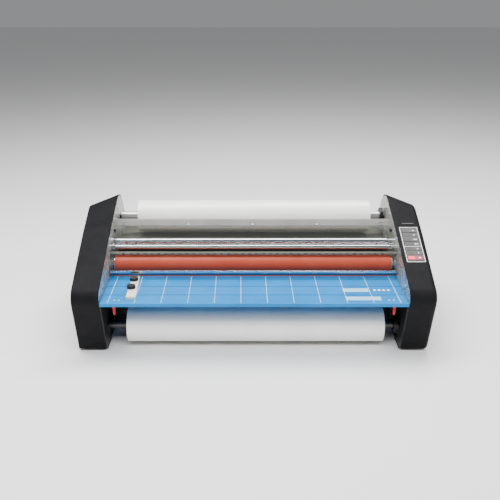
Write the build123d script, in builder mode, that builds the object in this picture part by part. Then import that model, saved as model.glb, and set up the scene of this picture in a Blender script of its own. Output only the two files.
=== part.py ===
from build123d import *
from math import asin, atan2, cos, hypot, pi, radians, sin
import os

# Wide desktop roll laminator. Millimetres, +X right, -Y front, +Z up.
# The origin is on the table, midway between the housings and midway front to back.
os.makedirs("parts", exist_ok=True)

# ---------------------------------------------------------------- driving sizes
film_width = 673.0
film_margin = 51.5
film_offset = 5.0
film_radius = 46.0
core_radius = 12.7
core_wall = 3.3
shaft_radius = 12.0
hub_radius = 22.5
hub_length = 9.0

supply_setback = 400.0
rear_length = 130.0
upper_supply_z = 262.0
lower_supply_setback = 96.5
lower_supply_z = 55.5

plate_thickness = 3.0
housing_width = 66.0
housing_wall = 3.5
outer_wall = 7.0
housing_edge = 12.0
side_flare = 10.0
top_fall = 18.0
top_lean = 44.0
bottom_rise = 30.0
foot_height = 4.0

heat_setback = 208.0
pull_setback = 350.0
nip_z = 162.0
nip_gap = 0.5
heat_radius = 23.0
sleeve_thickness = 2.0
tube_wall = 4.0
pull_radius = 20.0
heat_journal_radius = 10.0
pull_journal_radius = 8.0
heater_radius = 4.0
bearing_wall = 5.5
bearing_width = 8.0

gear_module = 2.0
gear_width = 8.0
pinion_teeth = 12
sprocket_width = 3.0
sprocket_inset = 0.5
sprocket_gap = 0.4
chain_thickness = 4.0
motor_size = heat_radius * 2.5 + 0.5

sheet = 2.0
tray_top = 158.0
tray_length = 179.0
tray_fold = 9.0
groove_width = 3.0
groove_depth = 1.0
groove_setbacks = (55.0, 110.0)

guide_x = -311.5
guide_width = 26.0
guide_height = 8.0
guide_taper = 8.0
guide_length = 150.0
knob_radius = 11.0
knob_height = 8.0
knob_offset = -5.5
knob_setbacks = (80.0, 133.0)

tab_x = 354.0
tab_length = 33.0
tab_width = 10.0
tab_pin_radius = 2.0

shield_thickness = 3.0
pivot_setback = 274.0
pivot_z = 258.0
pivot_radius = 4.0

panel_width = 50.0
panel_length = 138.0
panel_thickness = 1.5
key_rows = 7
key_pitch = 17.8
key_width = panel_width - 10.0
key_depth = 15.0
key_proud = 1.0

fan_size = 80.0
fan_depth = 25.0
fan_z = 75.0
inlet_x = 300.0
inlet_z = 78.0

# Clearances between pieces.
running = 0.05
slack = 0.3
side_gap = 1.0
seat_gap = 0.2

# ------------------------------------------------------------ places worked out
front_y = -(supply_setback + rear_length) / 2
rear_y = -front_y
inner_x = film_width / 2 + film_margin
plate_x = inner_x + plate_thickness
outer_x = plate_x + housing_width
upper_supply_y = front_y + supply_setback
lower_supply_y = front_y + lower_supply_setback
heat_y = front_y + heat_setback
pull_y = front_y + pull_setback
upper_heat_z = nip_z + nip_gap / 2 + heat_radius
lower_heat_z = nip_z - nip_gap / 2 - heat_radius
upper_pull_z = nip_z + nip_gap / 2 + pull_radius
lower_pull_z = nip_z - nip_gap / 2 - pull_radius
pivot_y = front_y + pivot_setback
cover_thickness = 3.0
cover_x = inner_x - cover_thickness
gear_x = plate_x + 7.0
sprocket_x = gear_x + gear_width + 2.0
motor_x = sprocket_x + sprocket_width + 3.0
rear_wall_y = rear_y - 9.0
tray_back_y = front_y + 2.0 + tray_length

# The side outline is the hull of six rounds: bulge, crest, nose, two rear corners and the toe.
bulge_radius = 34.0
bulge_z = 160.0
crest_radius = 100.0
crest_setback = 279.0
crest_z = 191.0
nose_radius = 64.0
nose_y = upper_supply_y - 17.0
nose_z = upper_supply_z + 3.5
rear_radius = 22.0
toe_radius = 12.0
rounds = (
    (front_y + bulge_radius, bulge_z, bulge_radius),
    (front_y + crest_setback, crest_z, crest_radius),
    (nose_y, nose_z, nose_radius),
    (rear_y - rear_radius, 170.0, rear_radius),
    (rear_y - toe_radius, foot_height + toe_radius, toe_radius),
    (front_y + 56.0, foot_height + toe_radius, toe_radius),
)
housing_top = nose_z + nose_radius

# The front slope is the tangent from the bulge to the crest; the control panel lies on it.
run = crest_setback - bulge_radius
rise = crest_z - bulge_z
slope = atan2(rise, run) + asin((crest_radius - bulge_radius) / hypot(run, rise))
slope_foot_y = front_y + bulge_radius - bulge_radius * sin(slope)
slope_foot_z = bulge_z + bulge_radius * cos(slope)
panel_along = 163.0
panel_x = plate_x + 31.5
panel_y = slope_foot_y + panel_along * cos(slope)
panel_z = slope_foot_z + panel_along * sin(slope)
panel_plane = Plane(
    origin=(panel_x, panel_y, panel_z), x_dir=(1, 0, 0), z_dir=(0, -sin(slope), cos(slope))
)


# ------------------------------------------------------------------- small tools
def add_box(x0, x1, y0, y1, z0, z1, mode=Mode.ADD):
    """Adds a square block between two corners to the part being built."""
    with Locations(((x0 + x1) / 2, (y0 + y1) / 2, (z0 + z1) / 2)):
        Box(abs(x1 - x0), abs(y1 - y0), abs(z1 - z0), mode=mode)


def add_rod(y, z, radius, x0, x1, mode=Mode.ADD):
    """Adds a round bar along X to the part being built."""
    with BuildSketch(Plane.YZ.offset(x0)) as section:
        with Locations((y, z)):
            Circle(radius)
    extrude(section.sketch, amount=x1 - x0, mode=mode)


def add_sheet(points, thickness, x0, x1, bend):
    """Adds a bent sheet, whose middle line runs through the (y, z) points, from x0 to x1."""
    with BuildSketch(Plane.YZ.offset(x0)) as section:
        with BuildLine():
            FilletPolyline(*points, radius=bend)
        trace(line_width=thickness)
    extrude(section.sketch, amount=x1 - x0)


def add_outline(inset):
    """Draws the housing's side outline, pulled in all round, in the sketch being built."""
    for y, z, radius in rounds:
        with Locations((y, z)):
            Circle(radius - inset)
    make_hull()


def gear_points(teeth, tooth_angle):
    """Gives the corners of a spur gear of straight-sided teeth, one of them at tooth_angle."""
    pitch_radius = gear_module * teeth / 2
    root = pitch_radius - 1.2 * gear_module
    tip = pitch_radius + 0.85 * gear_module
    corners = []
    for tooth in range(teeth):
        middle = radians(tooth_angle) + 2 * pi * tooth / teeth
        for radius, half in ((root, 0.34), (tip, 0.13), (tip, -0.13), (root, -0.34)):
            angle = middle - half * 2 * pi / teeth
            corners.append((radius * cos(angle), radius * sin(angle)))
    return corners


def add_gear(y, z, teeth, tooth_angle, bore, x0, x1):
    """Adds a spur gear with a bore, its axis along X, to the part being built."""
    with BuildSketch(Plane.YZ.offset(x0)) as section:
        with BuildLine():
            Polyline(*[(y + u, z + v) for u, v in gear_points(teeth, tooth_angle)], close=True)
        make_face()
        if bore:
            with Locations((y, z)):
                Circle(bore, mode=Mode.SUBTRACT)
    extrude(section.sketch, amount=x1 - x0)


def add_chain_loop(grow, mode=Mode.ADD):
    """Adds the hull of the two lower sprockets, grown all round, to the part being built."""
    with BuildSketch(Plane.YZ.offset(-sprocket_x)) as section:
        with Locations((heat_y, lower_heat_z)):
            Circle(heat_radius - sprocket_inset + grow)
        with Locations((pull_y, lower_pull_z)):
            Circle(pull_radius - sprocket_inset + grow)
        make_hull()
    extrude(section.sketch, amount=-sprocket_width, mode=mode)


# --------------------------------------------------- outer housings and side plates
def round_outer_edge(form, side):
    """Rounds the edges of a housing's outer face, by the largest share of the radius that fits."""
    outer_face = form.faces().sort_by(Axis.X)[-1 if side > 0 else 0]
    for share in (1.0, 0.8, 0.6, 0.4):
        try:
            fillet(outer_face.edges(), radius=housing_edge * share)
            return
        except ValueError:
            continue


def housing_form(side, inset):
    """Makes the solid form of one housing: outline, sloping top and bottom, flared and rounded."""
    near = side * inner_x
    side_inset = outer_wall if inset else 0.0
    front_far = side * (outer_x - side_inset)
    rear_far = side * (outer_x + side_flare - side_inset)
    past = side * side_flare
    widest = rear_far + past
    spread = abs(widest - near) / (outer_x - inner_x)
    below = bottom_rise * 20.0 / (outer_x - inner_x)
    low = foot_height + inset - 1.0
    high = housing_top - inset
    with BuildPart() as form:
        with BuildSketch(Plane.YZ.offset(near)):
            add_outline(inset)
        extrude(amount=widest - near)
        with BuildSketch(Plane.YZ.offset(near - side)) as leaning:
            add_outline(inset - 0.5)
        lean = Vector(side * (outer_x - inner_x), -top_lean, -top_fall)
        extrude(leaning.sketch, amount=lean.length * 1.5, dir=lean.normalized(), mode=Mode.INTERSECT)
        with BuildSketch(Plane.XZ):
            with BuildLine():
                Polyline(
                    (near - side * 20.0, low - below),
                    (widest, low + bottom_rise * spread),
                    (widest, high),
                    (near - side * 20.0, high),
                    close=True,
                )
            make_face()
        extrude(amount=2 * rear_y, both=True, mode=Mode.INTERSECT)
        with BuildSketch(Plane.XY):
            with BuildLine():
                Polyline(
                    (near, 2 * front_y - rear_y),
                    (front_far - past, 2 * front_y - rear_y),
                    (rear_far + past, 2 * rear_y - front_y),
                    (near, 2 * rear_y - front_y),
                    close=True,
                )
            make_face()
        extrude(amount=2 * housing_top, mode=Mode.INTERSECT)
        if not inset:
            round_outer_edge(form, side)
    return form.part


def wall_reach(y):
    """Gives how far out the inside of a housing's outer wall is at the depth y."""
    return outer_x - outer_wall + side_flare * (y - front_y) / (rear_y - front_y)


axles = (
    (heat_y, upper_heat_z, heat_journal_radius),
    (heat_y, lower_heat_z, heat_journal_radius),
    (pull_y, upper_pull_z, pull_journal_radius),
    (pull_y, lower_pull_z, pull_journal_radius),
)
for side, name in ((-1, "left"), (1, "right")):
    hollow = housing_form(side, housing_wall)
    with BuildPart() as side_plate:
        add(hollow)
        add_box(side * inner_x, side * plate_x, front_y, rear_y, 0.0, housing_top, Mode.INTERSECT)
        for y, z, journal in axles:
            bore = journal + running + bearing_wall
            add_rod(y, z, bore, side * inner_x, side * plate_x, mode=Mode.SUBTRACT)
    side_plate.part.label = f"{name}_side_plate"
    export_step(side_plate.part, f"parts/{name}_side_plate.step")

    with BuildPart() as housing:
        add(housing_form(side, 0.0))
        add(hollow, mode=Mode.SUBTRACT)
        if name == "right":
            with BuildSketch(panel_plane):
                RectangleRounded(panel_width + 2 * seat_gap, panel_length + 2 * seat_gap, 3.0)
            extrude(amount=-panel_thickness, mode=Mode.SUBTRACT)
            with BuildSketch(panel_plane):
                Rectangle(panel_width - 5.0, panel_length - 5.0)
            extrude(amount=-3 * housing_wall, mode=Mode.SUBTRACT)
    housing.part.label = f"{name}_housing"
    export_step(housing.part, f"parts/{name}_housing.step")

# Dark covers over the lower front of the side plates, below the tray.
cover_top = tray_top - 15.0
cover_back = heat_y - 39.0
with BuildPart() as inner_covers:
    for side in (-1, 1):
        with BuildSketch(Plane.YZ.offset(side * cover_x)):
            add_outline(3.0)
            with Locations(((cover_back + front_y) / 2, (foot_height + cover_top) / 2)):
                Rectangle(cover_back - front_y, cover_top - foot_height, mode=Mode.INTERSECT)
        extrude(amount=side * cover_thickness)
inner_covers.part.label = "inner_covers"
export_step(inner_covers.part, "parts/inner_covers.step")

# ------------------------------------------------------- base pan, rear and bars
pan_front_y = heat_y - 3.0
pan_floor_z = foot_height + 3.0
rear_wall_top = nip_z - 12.0
with BuildPart() as base_pan:
    add_sheet(
        (
            (pan_front_y, 60.0),
            (pan_front_y, pan_floor_z),
            (rear_wall_y + sheet / 2, pan_floor_z),
            (rear_wall_y + sheet / 2, rear_wall_top),
        ),
        sheet,
        -inner_x,
        inner_x,
        4.0,
    )
    with BuildSketch(Plane.XZ.offset(-rear_wall_y + sheet)):
        with Locations((0, fan_z)):
            Circle(3.4)
            for ring in (1, 2, 3):
                with PolarLocations(ring * 9.4, 6 * ring):
                    Circle(3.4)
        with Locations((inlet_x, inlet_z)):
            Rectangle(30.0, 56.0)
    extrude(amount=-3 * sheet, mode=Mode.SUBTRACT)
base_pan.part.label = "base_pan"
export_step(base_pan.part, "parts/base_pan.step")

with BuildPart() as rear_cover:
    add_sheet(
        (
            (pivot_y + 31.0, nip_z + 48.0),
            (rear_y - 29.0, nip_z + 34.0),
            (rear_y - 8.0, nip_z + 14.0),
        ),
        sheet,
        -inner_x,
        inner_x,
        8.0,
    )
rear_cover.part.label = "rear_cover"
export_step(rear_cover.part, "parts/rear_cover.step")

with BuildPart() as tie_bars:
    add_rod(pan_front_y + 80.0, pan_floor_z + 13.0, 8.0, -inner_x, inner_x)
    add_rod(rear_wall_y - 44.0, pan_floor_z + 13.0, 8.0, -inner_x, inner_x)
tie_bars.part.label = "tie_bars"
export_step(tie_bars.part, "parts/tie_bars.step")

with BuildPart() as idler_bars:
    add_rod(heat_y + 59.0, upper_heat_z + 42.75, 9.5, -inner_x, inner_x)
    add_rod(heat_y + 22.0, upper_heat_z + 39.75, 6.0, -inner_x, inner_x)
    add_rod(heat_y - 28.0, lower_heat_z - 30.75, 8.0, -inner_x, inner_x)
idler_bars.part.label = "idler_bars"
export_step(idler_bars.part, "parts/idler_bars.step")

# Slotted strip that keeps fingers off the top of the heated roller.
guard_y = heat_y - 8.0
guard_top = upper_heat_z + heat_radius + 9.0
with BuildPart() as finger_guard:
    add_sheet(
        ((guard_y, guard_top - 4.0), (guard_y, guard_top), (guard_y + 12.0, guard_top)),
        sheet,
        -inner_x,
        inner_x,
        1.6,
    )
    slot_count = int((2 * inner_x - 40.0) / 19.0)
    with Locations((0, guard_y + 3.0, guard_top - 1.5)):
        with GridLocations(19.0, 1.0, slot_count, 1):
            Box(6.0, 10.0, 4.0, mode=Mode.SUBTRACT)
finger_guard.part.label = "finger_guard"
export_step(finger_guard.part, "parts/finger_guard.step")

# Rail across the top, in front of the upper roll; the shield closes up to it.
rail_y = pivot_y + 37.0
with BuildPart() as shield_rail:
    add_sheet(
        ((rail_y, pivot_z + 21.5), (rail_y, pivot_z), (rail_y + 18.0, pivot_z)),
        sheet,
        -inner_x,
        inner_x,
        3.0,
    )
shield_rail.part.label = "shield_rail"
export_step(shield_rail.part, "parts/shield_rail.step")

# Pan-head screws: five along the rail, five on the inner face of each side plate.
screw_radius = 4.0
screw_height = 2.0
plate_screws = (
    (upper_supply_y - 40.0, upper_supply_z + 36.0),
    (upper_supply_y + 29.0, upper_supply_z + 2.0),
    (rear_y - 40.0, 120.0),
    (upper_supply_y + 15.0, 45.0),
    (front_y + 70.0, tray_top + 14.0),
)
with BuildPart() as cover_screws:
    with BuildSketch(Plane.XZ.offset(-rail_y + sheet / 2)):
        with Locations((0, pivot_z + 8.0)):
            with GridLocations((inner_x - 24.0) / 2, 1.0, 5, 1):
                Circle(screw_radius)
    extrude(amount=screw_height)
    for side in (-1, 1):
        with BuildSketch(Plane.YZ.offset(side * inner_x)):
            with Locations(*plate_screws):
                Circle(screw_radius)
        extrude(amount=-side * screw_height)
cover_screws.part.label = "cover_screws"
export_step(cover_screws.part, "parts/cover_screws.step")

with BuildPart() as feet:
    for side in (-1, 1):
        for y in (front_y + 62.0, rear_y - 75.0):
            x_mid = side * (inner_x + 4.0)
            add_box(x_mid - 7.0, x_mid + 7.0, y, y + 60.0, 0.0, foot_height)
    fillet(feet.edges().filter_by(Axis.Z), radius=4.0)
feet.part.label = "feet"
export_step(feet.part, "parts/feet.step")

# --------------------------------------------------------------- supply spindles
saddle_width = 4.0
spindles = (
    ("upper", upper_supply_y, upper_supply_z, inner_x),
    ("lower", lower_supply_y, lower_supply_z, cover_x),
)
with BuildPart() as shaft_saddles:
    for level, y, z, wall_x in spindles:
        for side in (-1, 1):
            with BuildSketch(Plane.YZ.offset(side * (wall_x - saddle_width))):
                with Locations((y, z - 6.5)):
                    Rectangle(38.0, 25.0)
                with Locations((y, z)):
                    Circle(shaft_radius + running, mode=Mode.SUBTRACT)
                with Locations((y, z + 10.0)):
                    Rectangle(2 * (shaft_radius + running), 20.0, mode=Mode.SUBTRACT)
            extrude(amount=side * saddle_width)
shaft_saddles.part.label = "shaft_saddles"
export_step(shaft_saddles.part, "parts/shaft_saddles.step")

roll_left = film_offset - film_width / 2
roll_right = film_offset + film_width / 2
grip_length = 40.0
for level, y, z, wall_x in spindles:
    shaft_end = wall_x - 0.5
    with BuildPart() as supply_shaft:
        add_rod(y, z, shaft_radius, -shaft_end, shaft_end)
        add_rod(y, z, core_radius, roll_left + 10.0, roll_left + 10.0 + grip_length)
        add_rod(y, z, core_radius, roll_right - 10.0 - grip_length, roll_right - 10.0)
        chamfer(supply_shaft.edges().filter_by(GeomType.CIRCLE).group_by(Axis.X)[0], length=1.5)
        chamfer(supply_shaft.edges().filter_by(GeomType.CIRCLE).group_by(Axis.X)[-1], length=1.5)
    supply_shaft.part.label = f"{level}_supply_shaft"
    export_step(supply_shaft.part, f"parts/{level}_supply_shaft.step")

    with BuildPart() as film_core:
        add_rod(y, z, core_radius + core_wall, roll_left, roll_right)
        add_rod(y, z, core_radius, roll_left, roll_right, mode=Mode.SUBTRACT)
    film_core.part.label = f"{level}_film_core"
    export_step(film_core.part, f"parts/{level}_film_core.step")

    with BuildPart() as film_roll:
        add_rod(y, z, film_radius, roll_left, roll_right)
        add_rod(y, z, core_radius + core_wall, roll_left, roll_right, mode=Mode.SUBTRACT)
    film_roll.part.label = f"{level}_film_roll"
    export_step(film_roll.part, f"parts/{level}_film_roll.step")

    hub_end = wall_x - saddle_width - 0.5
    with BuildPart() as brake_hub:
        add_rod(y, z, hub_radius, hub_end - hub_length, hub_end)
        add_rod(y, z, hub_radius - 6.0, hub_end - hub_length, hub_end - hub_length + 2.0, Mode.SUBTRACT)
        add_rod(y, z, shaft_radius + 4.0, hub_end - hub_length, hub_end)
        add_rod(y, z, shaft_radius, hub_end - hub_length, hub_end, mode=Mode.SUBTRACT)
    brake_hub.part.label = f"{level}_brake_hub"
    export_step(brake_hub.part, f"parts/{level}_brake_hub.step")

# ------------------------------------------------------------- rollers and drive
with BuildPart() as roller_bearings:
    for side in (-1, 1):
        for y, z, journal in axles:
            start = side * (plate_x + 2.0 - bearing_width)
            add_rod(y, z, journal + running + bearing_wall, start, start + side * bearing_width)
            add_rod(y, z, journal + running, start, start + side * bearing_width, mode=Mode.SUBTRACT)
roller_bearings.part.label = "roller_bearings"
export_step(roller_bearings.part, "parts/roller_bearings.step")

sleeve_end = inner_x - 12.0
journal_left = -(sprocket_x + sprocket_width)
journal_right = plate_x + 8.0
heat_teeth = round(2 * heat_radius / gear_module)
pull_teeth = round(2 * pull_radius / gear_module)
heater_reach = wall_reach(heat_y - heater_radius)
motor_reach = wall_reach(heat_y - motor_size / 2)
for level, z, tooth_angle in (
    ("upper", upper_heat_z, 270.0 + 180.0 / heat_teeth),
    ("lower", lower_heat_z, 90.0),
):
    with BuildPart() as heat_roller:
        add_rod(heat_y, z, heat_radius - sleeve_thickness, -sleeve_end - 2.0, sleeve_end + 2.0)
        add_rod(heat_y, z, heat_journal_radius, journal_left, journal_right)
        tube_bore = heat_radius - sleeve_thickness - tube_wall
        add_rod(heat_y, z, tube_bore, 12.0 - sleeve_end, sleeve_end - 12.0, mode=Mode.SUBTRACT)
        add_rod(heat_y, z, heater_radius + 1.2, journal_left, journal_right, mode=Mode.SUBTRACT)
    heat_roller.part.label = f"{level}_heat_roller"
    export_step(heat_roller.part, f"parts/{level}_heat_roller.step")

    with BuildPart() as heat_sleeve:
        add_rod(heat_y, z, heat_radius, -sleeve_end, sleeve_end)
        add_rod(heat_y, z, heat_radius - sleeve_thickness, -sleeve_end, sleeve_end, Mode.SUBTRACT)
    heat_sleeve.part.label = f"{level}_heat_sleeve"
    export_step(heat_sleeve.part, f"parts/{level}_heat_sleeve.step")

    with BuildPart() as heat_gear:
        add_gear(heat_y, z, heat_teeth, tooth_angle, heat_journal_radius, -gear_x, -gear_x - gear_width)
        if level == "lower":
            add_rod(heat_y, z, heat_radius - 6.0, -gear_x - gear_width, -sprocket_x)
            add_rod(heat_y, z, heat_radius - sprocket_inset, -sprocket_x, -sprocket_x - sprocket_width)
            add_rod(heat_y, z, heat_journal_radius, -gear_x, journal_left, mode=Mode.SUBTRACT)
    heat_gear.part.label = f"{level}_heat_gear"
    export_step(heat_gear.part, f"parts/{level}_heat_gear.step")

with BuildPart() as heater_rods:
    for z in (upper_heat_z, lower_heat_z):
        add_rod(heat_y, z, heater_radius, -heater_reach, heater_reach)
heater_rods.part.label = "heater_rods"
export_step(heater_rods.part, "parts/heater_rods.step")

for level, z, tooth_angle in (
    ("upper", upper_pull_z, 270.0 + 180.0 / pull_teeth),
    ("lower", lower_pull_z, 90.0),
):
    with BuildPart() as pull_roller:
        add_rod(pull_y, z, pull_radius, -sleeve_end, sleeve_end)
        add_rod(pull_y, z, pull_journal_radius, journal_left, journal_right)
    pull_roller.part.label = f"{level}_pull_roller"
    export_step(pull_roller.part, f"parts/{level}_pull_roller.step")

    with BuildPart() as pull_gear:
        add_gear(pull_y, z, pull_teeth, tooth_angle, pull_journal_radius, -gear_x, -gear_x - gear_width)
        if level == "lower":
            add_rod(pull_y, z, pull_radius - 6.0, -gear_x - gear_width, -sprocket_x)
            add_rod(pull_y, z, pull_radius - sprocket_inset, -sprocket_x, -sprocket_x - sprocket_width)
            add_rod(pull_y, z, pull_journal_radius, -gear_x, journal_left, mode=Mode.SUBTRACT)
    pull_gear.part.label = f"{level}_pull_gear"
    export_step(pull_gear.part, f"parts/{level}_pull_gear.step")

# The chain runs round the two lower sprockets as one closed band.
with BuildPart() as drive_chain:
    add_chain_loop(sprocket_gap + chain_thickness)
    add_chain_loop(sprocket_gap, Mode.SUBTRACT)
drive_chain.part.label = "drive_chain"
export_step(drive_chain.part, "parts/drive_chain.step")

# The pinion sits under the lower gear; where that gear shows a gap, the pinion shows a tooth.
pinion_drop = gear_module * (heat_teeth + pinion_teeth) / 2 + nip_gap
pinion_z = lower_heat_z - pinion_drop
gear_phase = (180.0 * heat_teeth / 360.0) % 1.0
pinion_angle = 90.0 + (0.5 - gear_phase) * 360.0 / pinion_teeth
with BuildPart() as motor_pinion:
    add_gear(heat_y, pinion_z, pinion_teeth, pinion_angle, 0, -gear_x, -gear_x - gear_width)
    add_rod(heat_y, pinion_z, 4.0, -gear_x - gear_width, -motor_x - 10.0)
motor_pinion.part.label = "motor_pinion"
export_step(motor_pinion.part, "parts/motor_pinion.step")

with BuildPart() as drive_motor:
    half = motor_size / 2
    add_box(-motor_reach, -motor_x, heat_y - half, heat_y + half, pinion_z - half, pinion_z + half)
    chamfer(drive_motor.edges().filter_by(Axis.X), length=6.0)
    gearbox_y = heat_y + half
    low = pinion_z - 20.0
    add_box(-motor_reach, -motor_x - 4.0, gearbox_y, gearbox_y + 60.0, low, low + 36.0)
    add_rod(heat_y, pinion_z, 4.0 + running, -motor_x - 12.0, -motor_x, mode=Mode.SUBTRACT)
drive_motor.part.label = "drive_motor"
export_step(drive_motor.part, "parts/drive_motor.step")

# ----------------------------------------------------------------- cooling fan
fan_hole = fan_size / 2 - 2.5
fan_back = rear_wall_y
fan_front = fan_back - fan_depth
with BuildPart() as fan_frame:
    half = fan_size / 2
    add_box(-half, half, fan_front, fan_back, fan_z - half, fan_z + half)
    fillet(fan_frame.edges().filter_by(Axis.Y), radius=4.0)
    with BuildSketch(Plane.XZ.offset(-fan_front)):
        with Locations((0, fan_z)):
            Circle(fan_hole)
    extrude(amount=-fan_depth, mode=Mode.SUBTRACT)
    with BuildSketch(Plane.XZ.offset(-fan_back)):
        with Locations((0, fan_z)):
            Circle(13.0)
            with PolarLocations(26.0, 3):
                Rectangle(26.0, 5.0)
            Circle(2.0 + running, mode=Mode.SUBTRACT)
    extrude(amount=5.0)
fan_frame.part.label = "fan_frame"
export_step(fan_frame.part, "parts/fan_frame.step")

blade_count = 7
with BuildPart() as fan_rotor:
    with BuildSketch(Plane.XZ.offset(-fan_front - 3.0)):
        with Locations((0, fan_z)):
            Circle(14.0)
    extrude(amount=-13.0)
    with BuildSketch(Plane.XZ.offset(-fan_front - 16.0)):
        with Locations((0, fan_z)):
            Circle(2.0)
    extrude(amount=-8.0)
    for blade in range(blade_count):
        with Locations(Location((0, fan_front + 9.5, fan_z), (0, 360.0 * blade / blade_count, 0))):
            with Locations(Location((24.0, 0, 0), (35, 0, 0))):
                Box(23.0, 13.0, 1.6)
fan_rotor.part.label = "fan_rotor"
export_step(fan_rotor.part, "parts/fan_rotor.step")

# ------------------------------------------------------------------ electrical
with BuildPart() as main_board:
    board_x = plate_x + 5.0
    board_y = pull_y - 60.0
    add_box(board_x, board_x + 1.6, board_y, board_y + 150.0, 40.0, 120.0)
    for y in (board_y + 6.0, board_y + 144.0):
        for z in (46.0, 114.0):
            add_rod(y, z, 3.0, plate_x, board_x)
    add_box(board_x + 1.6, board_x + 32.0, board_y + 12.0, board_y + 58.0, 50.0, 90.0)
    for step in range(4):
        add_rod(board_y + 78.0 + 18.0 * step, 62.0, 6.0, board_x + 1.6, board_x + 18.0)
    add_box(board_x + 1.6, board_x + 8.0, board_y + 72.0, board_y + 138.0, 84.0, 106.0)
main_board.part.label = "main_board"
export_step(main_board.part, "parts/main_board.step")

rocker_z = inlet_z + 16.0
socket_z = inlet_z - 12.0
with BuildPart() as power_inlet:
    wall_face = rear_wall_y + sheet
    add_box(inlet_x - 18.0, inlet_x + 18.0, wall_face, wall_face + 2.5, inlet_z - 31.0, inlet_z + 31.0)
    fillet(power_inlet.edges().filter_by(Axis.Y), radius=4.0)
    add_box(inlet_x - 14.5, inlet_x + 14.5, wall_face - 26.0, wall_face, inlet_z - 27.5, inlet_z + 27.5)
    face = wall_face + 2.5
    deep = wall_face - 16.0
    add_box(inlet_x - 12.0, inlet_x + 12.0, deep, face, socket_z - 8.0, socket_z + 8.0, Mode.SUBTRACT)
    for pin_x, pin_z in ((-7.0, -2.0), (0.0, 2.0), (7.0, -2.0)):
        x = inlet_x + pin_x
        z = socket_z + pin_z
        add_box(x - 1.0, x + 1.0, wall_face - 16.0, wall_face - 1.0, z - 2.5, z + 2.5)
    deep = wall_face - 14.0
    add_box(inlet_x - 9.0, inlet_x + 9.0, deep, face, rocker_z - 10.5, rocker_z + 10.5, Mode.SUBTRACT)
    add_rod(wall_face - 3.0, rocker_z, 2.0, inlet_x - 9.0, inlet_x + 9.0)
power_inlet.part.label = "power_inlet"
export_step(power_inlet.part, "parts/power_inlet.step")

with BuildPart() as power_switch:
    with BuildSketch(Plane.YZ.offset(inlet_x - 8.0)):
        with BuildLine():
            Polyline(
                (wall_face - 9.0, rocker_z - 5.0),
                (wall_face + 1.0, rocker_z - 9.0),
                (wall_face + 2.4, rocker_z),
                (wall_face + 4.6, rocker_z + 8.0),
                (wall_face - 9.0, rocker_z + 5.0),
                close=True,
            )
        make_face()
    extrude(amount=16.0)
    add_rod(wall_face - 3.0, rocker_z, 2.0 + running, inlet_x - 8.0, inlet_x + 8.0, Mode.SUBTRACT)
power_switch.part.label = "power_switch"
export_step(power_switch.part, "parts/power_switch.step")

# --------------------------------------------------------------- control panel
row_places = [((key_rows - 1) / 2 - row) * key_pitch for row in range(key_rows)]
flange_depth = key_pitch - 2.0
board_drop = 6.0
with BuildPart() as control_plate:
    with BuildSketch(panel_plane):
        RectangleRounded(panel_width, panel_length, 3.0)
        with Locations(*[(0, place) for place in row_places]):
            Rectangle(key_width + 2 * slack, key_depth + 2 * slack, mode=Mode.SUBTRACT)
    extrude(amount=-panel_thickness)
    with BuildSketch(panel_plane.offset(-panel_thickness)):
        with GridLocations(panel_width - 10.0, panel_length - 8.4, 2, 2):
            Circle(1.6)
    extrude(amount=panel_thickness - board_drop)
control_plate.part.label = "control_plate"
export_step(control_plate.part, "parts/control_plate.step")

with BuildPart() as key_board:
    with BuildSketch(panel_plane.offset(-board_drop)):
        Rectangle(panel_width - 6.0, panel_length - 5.6)
    extrude(amount=-1.6)
key_board.part.label = "key_board"
export_step(key_board.part, "parts/key_board.step")

key_names = ("heat_up", "heat_down", "speed_up", "speed_down", "run", "reverse", "stop")
for key_name, place in zip(key_names, row_places):
    with BuildPart() as key:
        with BuildSketch(panel_plane.offset(-panel_thickness - 2.0)):
            with Locations((0, place)):
                Rectangle(key_width + 2.0, flange_depth)
        extrude(amount=1.6)
        with BuildSketch(panel_plane.offset(-panel_thickness - 1.0)):
            with Locations((0, place)):
                RectangleRounded(key_width, key_depth, 1.5)
        extrude(amount=panel_thickness + 1.0 + key_proud)
    key.part.label = f"{key_name}_key"
    export_step(key.part, f"parts/{key_name}_key.step")

# ----------------------------------------------------------------------- shield
ear_thickness = 2.5
ear_radius = 10.0
ear_x = inner_x - side_gap
with BuildPart() as shield:
    add_sheet(
        (
            (pivot_y + 21.0, pivot_z + 6.0),
            (pivot_y - 71.0, pivot_z - 15.0),
            (heat_y - 43.0, nip_z + 21.0),
            (heat_y - 46.0, nip_z + 7.0),
        ),
        shield_thickness,
        -ear_x,
        ear_x,
        14.0,
    )
    for side in (-1, 1):
        inside = side * (ear_x - ear_thickness)
        add_rod(pivot_y, pivot_z, ear_radius, inside, side * ear_x)
        add_rod(pivot_y, pivot_z, ear_radius - 2.0, inside - side * 3.0, inside, mode=Mode.SUBTRACT)
        add_rod(pivot_y, pivot_z, pivot_radius + running, inside, side * ear_x, mode=Mode.SUBTRACT)
shield.part.label = "shield"
export_step(shield.part, "parts/shield.step")

with BuildPart() as shield_pivots:
    for side in (-1, 1):
        head = side * (ear_x - ear_thickness - 0.5)
        add_rod(pivot_y, pivot_z, pivot_radius, head, side * inner_x)
        add_rod(pivot_y, pivot_z, pivot_radius + 2.0, head - side * 1.5, head)
shield_pivots.part.label = "shield_pivots"
export_step(shield_pivots.part, "parts/shield_pivots.step")

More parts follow.
